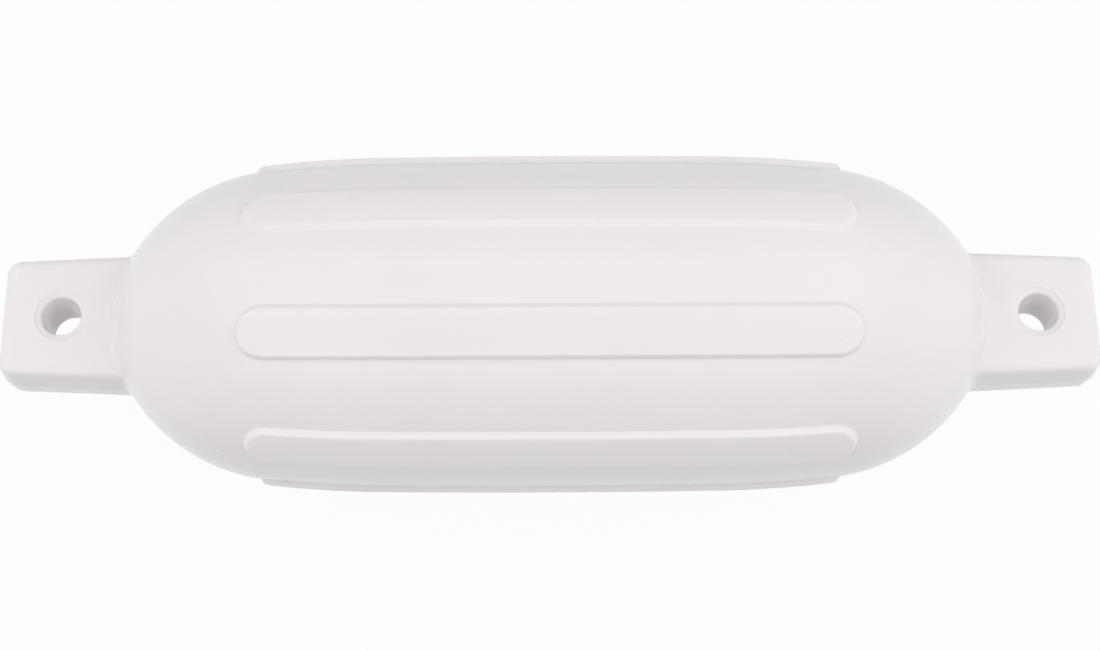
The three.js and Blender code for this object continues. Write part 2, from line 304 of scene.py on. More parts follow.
@dataclass
class RibbedBarrel:
    """The barrel with its raised, round-ended ribs, made as one sector and copied round."""

    ribs: int = 8
    length: float = 373.0
    width: float = 33.1
    height: float = 3.4
    wall_run: float = 2.9
    edge_radius: float = 1.6
    foot_radius: float = 0.5
    straight_columns: int = 17
    end_columns: int = 8
    spare_rows: int = 4
    fillet_steps: int = 4

    def __post_init__(self) -> None:
        """Works out the sizes that follow from the others."""
        self.half_columns = self.straight_columns + self.end_columns
        self.half_rows = self.end_columns + self.spare_rows
        self.pitch = math.pi / self.ribs * PROFILE.radius / self.half_rows
        self.straight = (self.length - self.width) / 2
        self.pad = self.pitch * self.end_columns
        self.end = self.straight + self.pad
        self.rings = [*self.skin_rings(), *self.wall_rings(), *self.top_rings()]

    def skin_rings(self) -> list[Ring]:
        """The rings that turn the sector's rectangle into the rib's round-ended outline."""
        return [Ring(24.6, 0, 0.35), Ring(21.6, 0, 0.75), Ring(19.2)]

    def wall_rings(self) -> list[Ring]:
        """The rings over the rib's foot fillet, its leaning wall and its rounded edge."""
        slope = math.atan2(self.height, self.wall_run)
        foot = self.width / 2 + self.foot_radius * math.tan(slope / 2)
        edge = self.width / 2 - self.wall_run - self.edge_radius * math.tan(slope / 2)
        low = [
            Ring(foot - self.foot_radius * math.sin(a), self.foot_radius * (1 - math.cos(a)))
            for a in [0.0, *steps(0, slope, self.fillet_steps)]
        ]
        high = [
            Ring(
                edge + self.edge_radius * math.sin(a),
                self.height - self.edge_radius * (1 - math.cos(a)),
            )
            for a in [slope, *steps(slope, 0, self.fillet_steps)]
        ]
        middle = Ring((low[-1].size + high[0].size) / 2, (low[-1].level + high[0].level) / 2)
        return [*low, middle, *high]

    def top_rings(self) -> list[Ring]:
        """The rings on the rib's top, which end as a rectangle."""
        return [Ring(11.5, self.height), Ring(9.0, self.height, 0.6), Ring(6.5, self.height, 0)]

    def column_place(self, column: float, end_size: float) -> float:
        """How far along the body a column lies, where the ends reach out by a size."""
        along = abs(column)
        if along <= self.straight_columns:
            place = self.straight * along / self.straight_columns
        else:
            past = (along - self.straight_columns) / self.end_columns
            place = self.straight + end_size * past
        return math.copysign(place, column)

    def ring_place(self, column: int, row: int, ring: Ring) -> tuple[float, float]:
        """Where a point of a ring lies on the flat sheet, along and across."""
        past = max(abs(column) - self.straight_columns, 0)
        square_along = self.column_place(column, ring.size)
        square_across = ring.size * row / self.end_columns
        if past == 0:
            return square_along, square_across
        turn = ring_turn(past, abs(row), self.end_columns, self.end_columns)
        round_along = math.copysign(self.straight + ring.size * math.cos(turn), column)
        round_across = math.copysign(ring.size * math.sin(turn), row) if row else 0.0
        return (
            mix(square_along, round_along, ring.roundness),
            mix(square_across, round_across, ring.roundness),
        )

    def wrap(self, along: float, across: float, height: float) -> Vector:
        """Wraps a point of the flat sheet on to the body.

        Near the rib, distances round the body are kept. At the sheet's edges, angles are.
        """
        past = max(abs(along) - self.straight, 0.0)
        reach = math.hypot(past, across)
        kept = 1 - ease((reach - self.rings[2].size) / (self.pad - self.rings[2].size))
        angle = PROFILE.angle_at_length(abs(along))
        foot = PROFILE.point(angle)[1]
        turn = across * mix(1 / PROFILE.radius, 1 / foot, kept) + math.pi / self.ribs
        point = PROFILE.on_skin(angle, turn, height)
        point.x = math.copysign(point.x, along)
        return point

    def place(self, flat: Vector) -> Vector:
        """The real place of a point of the laid-out sector."""
        column, row = round(flat.x), round(flat.y)
        depth = min(self.end_columns - abs(flat.y), self.half_columns - abs(flat.x))
        if depth < RING_STEP / 2:
            return self.wrap(self.column_place(column, self.pad), row * self.pitch, 0)
        inside = abs(row) < self.end_columns and abs(column) < self.half_columns
        ring = self.rings[-1 if inside else round(depth / RING_STEP) - 1]
        return self.wrap(*self.ring_place(column, row, ring), ring.level)

    def build(self) -> bpy.types.Object:
        """Makes one sector with its rib and copies it round the axis."""
        barrel = lay_out_grid("barrel", 2 * self.half_columns, 2 * self.half_rows)
        with edit_mode(barrel):
            select_faces(barrel, lambda middle: abs(middle.y) < self.end_columns)
            inset_rings(len(self.rings))
        set_points(barrel, self.place)
        with edit_mode(barrel):
            bpy.ops.mesh.select_all(action="SELECT")
            bpy.ops.mesh.spin(
                steps=self.ribs - 1,
                dupli=True,
                angle=2 * math.pi * (self.ribs - 1) / self.ribs,
                center=(0, 0, 0),
                axis=(1, 0, 0),
            )
        return barrel


@dataclass
class EyeEnd:
    """A dome with its tapered slab and the eye through it, for the right end of the fender.

    It is laid out as a square tube with a closed end. A column runs across the slab's face, a level
    up its wall, and a row lies a step further from the tip.
    """

    barrel: RibbedBarrel
    side: Side
    reach: float = 69.0
    tip_width: float = 78.8
    taper: float = math.radians(2.6)
    draft: float = math.radians(5.5)
    thickness: float = 40.5
    edge_radius: float = 6.0
    corner_radius: float = 10.0
    blend_radius: float = 9.0
    face_blend_radius: float = 13.0
    eye_from_tip: float = 38.7
    eye_square: float = 22.5
    circle_radius: float = 60.0
    half_columns: int = 32
    half_levels: int = 16
    wall_levels: int = 7
    corner_steps: int = 4
    eye_half: int = 20
    front_rows: int = 3
    root_rows: int = 6
    blend_rows: int = 12
    skirt_rows: int = 12
    dome_rows: int = 22
    bore_steps: int = 7
    rolls: int = 8

    def __post_init__(self) -> None:
        """Works out the sizes that follow from the others."""
        self.rings = self.eye_rings()
        self.tab_end = PROFILE.dome_crown + self.reach
        self.eye_x = self.tab_end - self.eye_from_tip
        self.eye_pitch = self.eye_square / self.eye_half
        self.edge_height = self.thickness / 2 - self.edge_radius
        self.edge_middle = self.edge_height * math.tan(self.draft) + self.edge_radius / math.cos(
            self.draft
        )
        self.eye_row = self.corner_steps + self.front_rows
        self.root_row = self.eye_row + 2 * self.eye_half
        self.wall_row = self.root_row + self.root_rows
        self.dome_row = self.wall_row + self.blend_rows
        self.circle_row = self.dome_row + self.skirt_rows
        self.last_row = self.circle_row + self.dome_rows
        self.turn_step = math.pi / (2 * (self.half_columns + self.half_levels))
        self.circle_angle = PROFILE.angle_at_radius(self.circle_radius)
        self.last_angle = PROFILE.angle_at_length(self.barrel.end)
        self.blends = {spot: self.blend(*spot) for spot in self.outline()}
        self.pocket = ValvePocket(self) if self.side is Side.RIGHT else None

    def outline(self) -> list[tuple[int, int]]:
        """Every column and level round the tube."""
        wide, tall = self.half_columns, self.half_levels
        faces = [(column, level) for column in range(-wide, wide + 1) for level in (-tall, tall)]
        walls = [(column, level) for column in (-wide, wide) for level in range(1 - tall, tall)]
        return faces + walls

    def half_width(self, x: float) -> float:
        """Half the slab's width at the parting plane."""
        return self.tip_width / 2 + (self.tab_end - x) * math.tan(self.taper)

    def wall(self, level: int) -> tuple[float, float, float]:
        """A level's inset from the parting outline, its height, and how far it faces up."""
        up = abs(level)
        low_end = self.edge_height + self.edge_radius * math.sin(self.draft)
        if up <= self.wall_levels:
            height = low_end * up / self.wall_levels
            inset, facing = height * math.tan(self.draft), self.draft if up else 0.0
        else:
            share = (up - self.wall_levels) / (self.half_levels - self.wall_levels)
            facing = mix(self.draft, math.pi / 2, share)
            inset = self.edge_middle - self.edge_radius * math.cos(facing)
            height = self.edge_height + self.edge_radius * math.sin(facing)
        return inset, math.copysign(height, level), math.copysign(facing, level)

    def across(self, column: int, edge: float) -> float:
        """How far across the face a column lies, where the face's edge is at a distance."""
        if abs(column) <= self.eye_half:
            return column * self.eye_pitch
        share = (abs(column) - self.eye_half) / (self.half_columns - self.eye_half)
        return math.copysign(mix(self.eye_square, edge, share), column)

    def section(self, column: int, level: int, x: float) -> tuple[Vector, Vector]:
        """The slab's straight section at a place: the point, and the way that it faces."""
        inset, height, facing = self.wall(level)
        edge = self.half_width(x) - inset
        if abs(column) < self.half_columns:
            face = Vector((0, math.copysign(1, level)))
            return Vector((self.across(column, edge), height)), face
        outward = Vector((math.copysign(math.cos(facing), column), math.sin(facing)))
        return Vector((math.copysign(edge, column), height)), outward

    def ball_radius(self, column: int, level: int) -> float:
        """The radius of the blend's ball, which grows from the slab's sides to its faces."""
        facing = math.sin(abs(self.wall(level)[2])) ** 2
        inward = 1.0 - (column / self.half_columns) ** 2
        return mix(self.blend_radius, self.face_blend_radius, facing * inward)

    def blend(self, column: int, level: int) -> tuple[Vector, Vector, Vector]:
        """The ball that rolls between slab and dome: its middle, and the ways to both skins."""
        x, angle, middle, outward = PROFILE.dome_crown, 0.0, Vector((0, 0)), Vector((0, 0))
        radius = self.ball_radius(column, level)
        for _ in range(self.rolls):
            point, outward = self.section(column, level, x)
            middle = point + outward * radius
            angle = PROFILE.angle_at_radius(middle.length, radius)
            x = PROFILE.point(angle, radius)[0]
        lean = abs(outward.x) * math.sin(self.taper)
        to_wall = Vector((-lean, -outward.x, -outward.y)).normalized()
        away = middle.normalized() * math.cos(angle)
        to_dome = Vector((-math.sin(angle), -away.x, -away.y))
        return Vector((x, *middle)), to_wall, to_dome

    def turn(self, column: int, level: int) -> float:
        """The turn round the axis, from +Y, of a point of the tube once it is a circle."""
        wide, tall = self.half_columns, self.half_levels
        if abs(column) == wide:
            return level * self.turn_step if column > 0 else math.pi - level * self.turn_step
        return math.copysign((tall + wide - column) * self.turn_step, level)

    def rounded(self, turn: float, inset: float) -> tuple[float, float]:
        """A point of the slab's corner, along and across, at a turn from the side to the tip."""
        radius = self.corner_radius - inset
        x = self.tab_end - self.corner_radius + radius * math.sin(turn)
        return x, self.half_width(x) - self.corner_radius + radius * math.cos(turn)

    def tip_point(self, column: int, level: int) -> Vector:
        """A point of the slab's end wall, up to the middle of each corner."""
        inset, height, _ = self.wall(level)
        straight = self.half_columns - self.corner_steps
        if abs(column) >= straight:
            past = (self.half_columns - abs(column)) / self.corner_steps
            x, y = self.rounded(math.pi / 4 * (1 + past), inset)
        else:
            x = self.tab_end - inset
            y = (self.half_width(x) - self.corner_radius) * abs(column) / straight
        return Vector((x, math.copysign(y, column), height))

    def side_point(self, side: int, level: int, row: int) -> Vector:
        """A point of the slab's side wall or of its face's edge."""
        inset, height, _ = self.wall(level)
        if row <= self.corner_steps:
            turn = math.pi / 4 * (self.corner_steps - row) / self.corner_steps
            x, y = self.rounded(turn, inset)
        else:
            x = self.row_place(row, self.blends[side * self.half_columns, level][0].x)
            y = self.half_width(x) - inset
        return Vector((x, side * y, height))

    def row_place(self, row: int, root: float) -> float:
        """How far along a row of the slab's straight part lies."""
        front = self.eye_x + self.eye_square
        if row <= self.eye_row:
            share = (row - self.corner_steps) / self.front_rows
            return mix(self.tab_end - self.corner_radius, front, share)
        if row <= self.root_row:
            return front - (row - self.eye_row) * self.eye_pitch
        share = (row - self.root_row) / self.root_rows
        return mix(self.eye_x - self.eye_square, root, share)

    def face_point(self, column: int, level: int, row: int) -> Vector:
        """A point of the slab's flat face."""
        if row < self.eye_row:
            return self.front_point(column, level, row)
        x = self.row_place(min(row, self.root_row), 0.0)
        point, _ = self.section(column, level, x)
        place = Vector((x, *point))
        if row <= self.root_row:
            return place
        share = (row - self.root_row) / self.root_rows
        return place.lerp(self.blend_point(column, level, 0.0), share)

    def front_point(self, column: int, level: int, row: int) -> Vector:
        """A point of the face between the tip and the eye, spread evenly between its edges."""
        wide, up = self.half_columns, row / self.eye_row
        along = 0.5 + column / 2 / wide
        tip = {c: self.tip_point(c, level) for c in (-wide, column, wide)}
        eye = {c: self.face_point(c, level, self.eye_row) for c in (-wide, column, wide)}
        left, right = self.side_point(-1, level, row), self.side_point(1, level, row)
        ends = tip[column].lerp(eye[column], up) + left.lerp(right, along)
        return ends - tip[-wide].lerp(tip[wide], along).lerp(eye[-wide].lerp(eye[wide], along), up)

    def blend_point(self, column: int, level: int, share: float) -> Vector:
        """A point of the blend, a share of the way from the slab to the dome."""
        middle, to_wall, to_dome = self.blends[column, level]
        return middle + to_wall.slerp(to_dome, share) * self.ball_radius(column, level)

    def dome_point(self, column: int, level: int, row: int) -> Vector:
        """A point of the dome, from the blend's edge out to the barrel."""
        turn = self.turn(column, level)
        if row >= self.circle_row:
            share = (row - self.circle_row) / self.dome_rows
            return PROFILE.on_skin(mix(self.circle_angle, self.last_angle, share), turn)
        share = (row - self.dome_row) / self.skirt_rows
        edge = self.blend_point(column, level, 1.0)
        start = math.atan2(edge.z, edge.y)
        swing = (turn - start + math.pi) % (2 * math.pi) - math.pi
        radius = mix(math.hypot(edge.y, edge.z), self.circle_radius, share)
        return PROFILE.on_skin(PROFILE.angle_at_radius(radius), start + swing * share)

    def eye_rings(self) -> list[Ring]:
        """The rings from the face over the eye's dished rim and down its bore to the middle."""
        rim = [Ring(21.2, 0, 0.5), Ring(19.2), Ring(17.4)]
        crease = [(16.8, 0.0), (16.55, -0.05), (16.35, -0.22), (16.2, -0.5), (16.0, -0.62)]
        dish = [(15.2, -0.74), (14.3, -0.9), (13.5, -1.14)]
        mouth = [(13.0, -1.42), (12.68, -1.85), (12.46, -2.4), (12.34, -3.1)]
        sizes = [12.26, *steps(12.26, 12.0, self.bore_steps)]
        levels = [-4.0, *steps(-4.0, -self.thickness / 2, self.bore_steps)]
        return [*rim, *(Ring(*pair) for pair in [*crease, *dish, *mouth, *zip(sizes, levels)])]

    def eye_point(self, flat: Vector) -> Vector | None:
        """The place of a laid-out point in the eye's square, or None outside it."""
        along = flat.z + self.eye_row + self.eye_half
        depth = self.eye_half - max(abs(flat.x), abs(along))
        if depth < RING_STEP / 2:
            return None
        ring = self.rings[round(depth / RING_STEP) - 1]
        column, row = round(flat.x), round(along)
        turn = ring_turn(row, column, self.eye_half, self.eye_half)
        square = Vector((row, column)) * (ring.size / self.eye_half)
        circle = Vector((math.cos(turn), math.sin(turn))) * ring.size
        spot = square.lerp(circle, ring.roundness)
        height = self.thickness / 2 + ring.level
        return Vector((self.eye_x + spot.x, spot.y, math.copysign(height, flat.y)))

    def place(self, flat: Vector) -> Vector:
        """The real place of a point of the laid-out end."""
        if abs(abs(flat.y) - self.half_levels) < RING_STEP / 2:
            found = self.eye_point(flat)
            if found is None and self.pocket and flat.y < 0:
                found = self.pocket.point(flat)
            if found is not None:
                return found
        column, level, row = round(flat.x), round(flat.y), round(-flat.z)
        if row == 0:
            return self.tip_point(column, level)
        if row > self.dome_row:
            return self.dome_point(column, level, row)
        if row >= self.wall_row:
            return self.blend_point(column, level, (row - self.wall_row) / self.blend_rows)
        if abs(column) == self.half_columns:
            return self.side_point(1 if column > 0 else -1, level, row)
        return self.face_point(column, level, row)

    def build(self) -> bpy.types.Object:
        """Makes the end, turned to its side of the fender."""
        end = lay_out_grid("dome", 2 * self.half_columns, 2 * self.half_levels)
        with edit_mode(end, "EDGE"):
            select_open_edge()
            for _ in range(self.last_row):
                bpy.ops.mesh.extrude_edges_move(TRANSFORM_OT_translate={"value": (0, 0, -1)})
        with edit_mode(end):
            select_faces(end, self.in_eye_square)
            inset_rings(len(self.rings))
            bpy.ops.mesh.delete(type="FACE")
        if self.pocket:
            with edit_mode(end):
                select_faces(end, self.pocket.holds)
                inset_rings(len(self.pocket.rings))
        set_points(end, self.place)
        if self.side is Side.LEFT:
            end.data.transform(Matrix.Rotation(math.pi, 4, "Z"))
        return end

    def in_eye_square(self, middle: Vector) -> bool:
        """Whether a laid-out face is one that the eye takes the place of."""
        on_face = abs(middle.y) > self.half_levels - NEAR
        along = middle.z + self.eye_row + self.eye_half
        return on_face and max(abs(middle.x), abs(along)) < self.eye_half


@dataclass
class ValvePocket:
    """The stepped pocket in the underside of the right dome that holds the valve."""

    end: EyeEnd
    from_crown: float = 44.0
    half_columns: int = 5
    half_rows: float = 4.5
    rows_past_circle: float = 8.5
    head: float = 8.8
    stem: float = 5.55
    ledge: float = 3.2
    depth: float = 13.3

    def __post_init__(self) -> None:
        """Works out the pocket's seat on the dome and its rings."""
        self.middle_row = self.end.circle_row + self.rows_past_circle
        self.angle = PROFILE.angle_at_length(PROFILE.dome_crown - self.from_crown)
        skin = [Ring(11.6, 0, 0.5), Ring(10.4), Ring(9.6), Ring(9.2, -0.04), Ring(8.95, -0.16)]
        wall = [Ring(8.83, -0.4), Ring(self.head, -0.8), Ring(self.head, -self.ledge)]
        hole = [Ring(7.2, -self.ledge), Ring(self.stem, -self.ledge), Ring(self.stem, -self.depth)]
        self.rings = [*skin, *wall, *hole, Ring(4.4, -self.depth, 0.5)]

    def holds(self, middle: Vector) -> bool:
        """Whether a laid-out face is one that the pocket takes the place of."""
        on_underside = middle.y < NEAR - self.end.half_levels
        along = abs(middle.z + self.middle_row) < self.half_rows
        return on_underside and along and abs(middle.x) < self.half_columns

    def point(self, flat: Vector) -> Vector | None:
        """The place of a laid-out point in the pocket's patch, or None outside it."""
        along = flat.z + self.middle_row
        depth = min(self.half_rows - abs(along), self.half_columns - abs(flat.x))
        if depth < RING_STEP / 2:
            return None
        column, row = round(flat.x), round(along - 0.5) + 0.5
        on_ring = abs(column) == self.half_columns or abs(row) == self.half_rows
        ring = self.rings[round(depth / RING_STEP) - 1] if on_ring else self.rings[-1]
        square = Vector((row / self.half_rows, column / self.half_columns)) * ring.size
        if not on_ring:
            return seat_point(self.angle, square.x, square.y, ring.level)
        turn = ring_turn(row, column, self.half_rows, self.half_columns)
        circle = Vector((math.cos(turn), math.sin(turn))) * ring.size
        spot = square.lerp(circle, ring.roundness)
        return seat_point(self.angle, spot.x, spot.y, ring.level)


def seat_point(angle: float, along: float, across: float, level: float) -> Vector:
    """A point near the valve's seat on the underside, level with or sunk below the skin.

    Args:
        angle: The seat's angle on the profile.
        along: How far the point is from the seat's middle, along the skin towards the tip.
        across: How far it is across.
        level: Its height above the skin, below 0 where it is sunk.

    Returns:
        The point, with the seat straight below the axis.
    """
    shoulder = PROFILE.arcs[2]
    radius = PROFILE.point(angle)[1]
    skin = PROFILE.on_skin(angle + along / shoulder.radius, -math.pi / 2 + across / radius)
    outward = Vector((math.sin(angle), 0, -math.cos(angle)))
    return skin + outward * level


@dataclass
class Fender:
    """The one-piece vinyl fender: a ribbed barrel between two domed ends."""

    barrel: RibbedBarrel = field(default_factory=RibbedBarrel)

    def build(self) -> bpy.types.Object:
        """Makes the moulding as one closed skin.

        Returns:
            The finished fender, which stands for its CAD node.
        """
        ends = [EyeEnd(self.barrel, side).build() for side in Side]
        fender = join("moulded_fender", [self.barrel.build(), *ends])
        weld(fender)
        stand_on_ground(fender, PROFILE.radius)
        return fender


@dataclass
class InflationValve:
    """The soft rubber needle valve that fills the pocket."""

    angle: float
    sides: int = 48
    head: float = 8.5
    stem: float = 5.25
    head_thickness: float = 2.8
    length: float = 12.9

    def profile(self) -> list[tuple[float, float]]:
        """The valve's outline from the foot of its stem over its head to its needle hole."""
        foot, under = -self.length, -self.head_thickness
        stem = [(4.6, foot), (5.1, foot + 0.15), (self.stem, foot + 0.6), (self.stem, under - 0.3)]
        under_head = [(self.stem + 0.3, under), (8.1, under), (8.4, under + 0.12)]
        rim = [(self.head, under + 0.5), (self.head, -0.5), (8.42, -0.2), (8.2, -0.06), (7.9, 0.0)]
        lip = [(7.5, 0.0), (7.25, -0.06), (7.1, -0.25), (7.0, -0.55), (6.75, -0.72)]
        face = [(6.4, -0.76), (5.2, -0.66), (3.4, -0.5)]
        funnel = [(2.2, -0.46), (1.7, -0.58), (1.4, -0.95), (1.2, -1.6)]
        return [*stem, *under_head, *rim, *lip, *face, *funnel, (1.1, -4.6), (0.5, -5.0)]

    def build(self) -> bpy.types.Object:
        """Makes the valve by running a ring of points along its outline.

        Returns:
            The finished valve, which stands for its CAD node.
        """
        outline = self.profile()
        start = outline[0]
        bpy.ops.mesh.primitive_circle_add(vertices=self.sides, radius=start[0], fill_type="NGON")
        valve = bpy.context.active_object
        valve.name = valve.data.name = "needle_valve"
        valve.data.transform(Matrix.Translation((0, 0, start[1])))
        with edit_mode(valve, "EDGE"):
            bpy.ops.mesh.select_all(action="SELECT")
            for (radius, height), (last_radius, last_height) in zip(outline[1:], outline):
                rise = (0, 0, height - last_height)
                bpy.ops.mesh.extrude_edges_move(TRANSFORM_OT_translate={"value": rise})
                scale = radius / last_radius
                bpy.ops.transform.resize(value=(scale, scale, 1))
            bpy.ops.mesh.edge_face_add()
        set_points(valve, lambda spot: seat_point(self.angle, spot.x, spot.y, spot.z))
        weld(valve)
        stand_on_ground(valve, PROFILE.radius)
        return valve


# Finishes


@dataclass(frozen=True)
class Mark:
    """A small soiled spot on a piece.

    Attributes:
        place: Its middle, in metres.
        radius: Where it has faded out, in metres.
        strength: How strong it is in the middle, from 0 to 1.
    """

    place: tuple[float, float, float]
    radius: float
    strength: float


@dataclass(frozen=True)
class Grain:
    """A noise pattern, and how it bumps a skin.

    Attributes:
        scale: How fine it is.
        detail: How many finer layers it has.
        roughness: How strong the finer layers are.
        strength: How strong its bumps are, from 0 to 1.
        height: How high its bumps are, in metres.
    """

    scale: float
    detail: float = 2.0
    roughness: float = 0.5
    strength: float = 0.0
    height: float = 0.0


def set_inputs(node: bpy.types.Node, values: dict[str, object]) -> None:
    """Sets a node's inputs by their names."""
    for name, value in values.items():
        node.inputs[name].default_value = value


class NodeSketch:
    """Builds a material's nodes, and keeps its shader at hand."""

    def __init__(self, name: str) -> None:
        """Starts a new material with a plain shader."""
        self.material = bpy.data.materials.new(name)
        self.material.use_nodes = True
        self.nodes = self.material.node_tree.nodes
        self.links = self.material.node_tree.links
        self.shader = self.nodes["Principled BSDF"]
        self.coordinates = self.add("ShaderNodeTexCoord").outputs["Object"]

    def add(self, kind: str, **values: object) -> bpy.types.Node:
        """Adds a node and sets its properties."""
        node = self.nodes.new(kind)
        for key, value in values.items():
            setattr(node, key, value)
        return node

    def noise(self, grain: Grain) -> bpy.types.NodeSocket:
        """Adds a noise pattern that reads the piece's own coordinates."""
        node = self.add("ShaderNodeTexNoise")
        look = {"Scale": grain.scale, "Detail": grain.detail, "Roughness": grain.roughness}
        set_inputs(node, look)
        self.links.new(self.coordinates, node.inputs["Vector"])
        return node.outputs["Fac"]

    def spread(
        self, value: bpy.types.NodeSocket, low: float, high: float, clip: tuple[float, float]
    ) -> bpy.types.NodeSocket:
        """Spreads a value over a new range.

        Args:
            value: The socket that gives the value.
            low: The new value where the old one is at the clip's start.
            high: The new value where the old one is at the clip's end.
            clip: The part of the old range that is used.

        Returns:
            The socket that gives the new value.
        """
        node = self.add("ShaderNodeMapRange")
        set_inputs(node, {"From Min": clip[0], "From Max": clip[1], "To Min": low, "To Max": high})
        self.links.new(value, node.inputs["Value"])
        return node.outputs["Result"]

    def blend(
        self, share: bpy.types.NodeSocket, first: object, second: object
    ) -> bpy.types.NodeSocket:
        """Mixes two colours, each a socket or a plain colour, by a share."""
        node = self.add("ShaderNodeMix", data_type="RGBA")
        self.links.new(share, node.inputs["Factor"])
        for key, colour in (("A", first), ("B", second)):
            socket = next(s for s in node.inputs if s.name == key and s.type == "RGBA")
            if isinstance(colour, bpy.types.NodeSocket):
                self.links.new(colour, socket)
            else:
                socket.default_value = (*colour, 1.0)
        return next(s for s in node.outputs if s.type == "RGBA")

    def clouds(
        self, grain: Grain, first: tuple[float, ...], second: tuple[float, ...]
    ) -> bpy.types.NodeSocket:
        """Mixes two colours in soft clouds."""
        return self.blend(self.spread(self.noise(grain), 0.0, 1.0, CLOUD_CLIP), first, second)

    def mark(self, mark: Mark) -> bpy.types.NodeSocket:
        """Gives a mark's strength at its place and less around it, down to 0 at its radius."""
        away = self.add("ShaderNodeVectorMath", operation="DISTANCE")
        away.inputs[1].default_value = mark.place
        self.links.new(self.coordinates, away.inputs[0])
        return self.spread(away.outputs["Value"], mark.strength, 0.0, (0.0, mark.radius))

    def bump(self, *grains: Grain) -> None:
        """Bumps the skin with noise patterns, one on another."""
        last = None
        for grain in grains:
            node = self.add("ShaderNodeBump")
            set_inputs(node, {"Strength": grain.strength, "Distance": grain.height})
            self.links.new(self.noise(grain), node.inputs["Height"])
            if last:
                self.links.new(last, node.inputs["Normal"])
            last = node.outputs["Normal"]
        self.links.new(last, self.shader.inputs["Normal"])


@dataclass(frozen=True)
class SoftVinyl:
    """Glossy, soft moulded vinyl with a faint pink cast.

    Attributes:
        colour: The main colour.
        warm: The colour of its faint clouds.
        clouds: The pattern of those clouds.
        matt: How matt it is at its glossiest and its least glossy, below where noise shows.
        polish: The pattern in which it is more or less glossy.
        refraction: Its index of refraction.
        glow: How much of the light that enters it comes out again near by.
        glow_depth: How far that light travels, in metres.
        glow_radius: How far each of red, green and blue travels, of that depth.
        waves: The slight waves of the moulding.
        peel: The fine texture of the skin.
        soiled: The colour of the few marks on it.
        marks: Those marks.
    """

    colour: tuple[float, float, float] = (0.86, 0.825, 0.855)
    warm: tuple[float, float, float] = (0.845, 0.805, 0.832)
    clouds: Grain = Grain(9.0, 3.0, 0.55)
    matt: tuple[float, float] = (0.2, 0.24)
    polish: Grain = Grain(38.0, 4.0, 0.6)
    refraction: float = 1.5
    glow: float = 0.4
    glow_depth: float = 0.006
    glow_radius: tuple[float, float, float] = (1.0, 0.9, 0.95)
    waves: Grain = Grain(28.0, strength=0.1, height=0.0003)
    peel: Grain = Grain(900.0, strength=0.06, height=0.0001)
    soiled: tuple[float, float, float] = (0.5, 0.46, 0.47)
    marks: tuple[Mark, ...] = (
        Mark((-0.2012, -0.0908, 0.1286), 0.0012, 0.9),
        Mark((-0.1192, 0.0468, 0.1996), 0.0028, 0.22),
        Mark((0.1746, -0.0425, 0.1974), 0.0009, 0.4),
    )

    def make(self) -> bpy.types.Material:
        """Makes the material."""
        sketch = NodeSketch("soft_vinyl")
        shader = sketch.shader
        skin = sketch.clouds(self.clouds, self.colour, self.warm)
        for mark in self.marks:
            skin = sketch.blend(sketch.mark(mark), skin, self.soiled)
        sketch.links.new(skin, shader.inputs["Base Color"])
        gloss = sketch.spread(sketch.noise(self.polish), *self.matt, POLISH_CLIP)
        sketch.links.new(gloss, shader.inputs["Roughness"])
        look = {
            "IOR": self.refraction,
            "Subsurface Weight": self.glow,
            "Subsurface Radius": self.glow_radius,
            "Subsurface Scale": self.glow_depth,
        }
        set_inputs(shader, look)
        sketch.bump(self.waves, self.peel)
        return sketch.material


@dataclass(frozen=True)
class ValveRubber:
    """Pale matt rubber.

    Attributes:
        colour: The main colour.
        dusty: The colour where dust lies.
        dust: The pattern of the dust.
        roughness: How matt it is.
        texture: The fine texture of its skin.
    """

    colour: tuple[float, float, float] = (0.62, 0.59, 0.61)
    dusty: tuple[float, float, float] = (0.7, 0.68, 0.69)
    dust: Grain = Grain(220.0, 3.0, 0.6)
    roughness: float = 0.58
    texture: Grain = Grain(2600.0, strength=0.2, height=0.0001)

    def make(self) -> bpy.types.Material:
        """Makes the material."""
        sketch = NodeSketch("valve_rubber")
        tone = sketch.clouds(self.dust, self.colour, self.dusty)
        sketch.links.new(tone, sketch.shader.inputs["Base Color"])
        sketch.shader.inputs["Roughness"].default_value = self.roughness
        sketch.bump(self.texture)
        return sketch.material


# Studio


@dataclass(frozen=True)
class Softbox:
    """One rectangular lamp.

    Attributes:
        name: The lamp's name.
        place: Where it hangs, in metres.
        aim: The point that it faces.
        size: Its width and height.
        power: Its power in watts.
        mirrored: Whether glossy skins reflect it.
    """

    name: str
    place: tuple[float, float, float]
    aim: tuple[float, float, float]
    size: tuple[float, float]
    power: float
    mirrored: bool = True

    def hang(self) -> None:
        """Adds the lamp to the scene."""
        bpy.ops.object.light_add(type="AREA", location=self.place)
        lamp = bpy.context.active_object
        lamp.name = self.name
        lamp.data.shape = "RECTANGLE"
        lamp.data.size, lamp.data.size_y = self.size
        lamp.data.energy = self.power
        lamp.visible_glossy = self.mirrored
        way = Vector(self.aim) - Vector(self.place)
        lamp.rotation_euler = way.to_track_quat("-Z", "Y").to_euler()


def sees_backdrop(tree: bpy.types.NodeTree) -> bpy.types.NodeSocket:
    """Adds nodes that give 1 to the rays of the camera, of reflections and of glass, and else 0.

    Args:
        tree: The node tree of the floor or the world.

    Returns:
        The socket that gives the number.
    """
    path = tree.nodes.new("ShaderNodeLightPath")
    seen = path.outputs["Is Camera Ray"]
    for name in ("Is Glossy Ray", "Is Transmission Ray"):
        either = tree.nodes.new("ShaderNodeMath")
        either.operation = "MAXIMUM"
        tree.links.new(seen, either.inputs[0])
        tree.links.new(path.outputs[name], either.inputs[1])
        seen = either.outputs["Value"]
    return seen


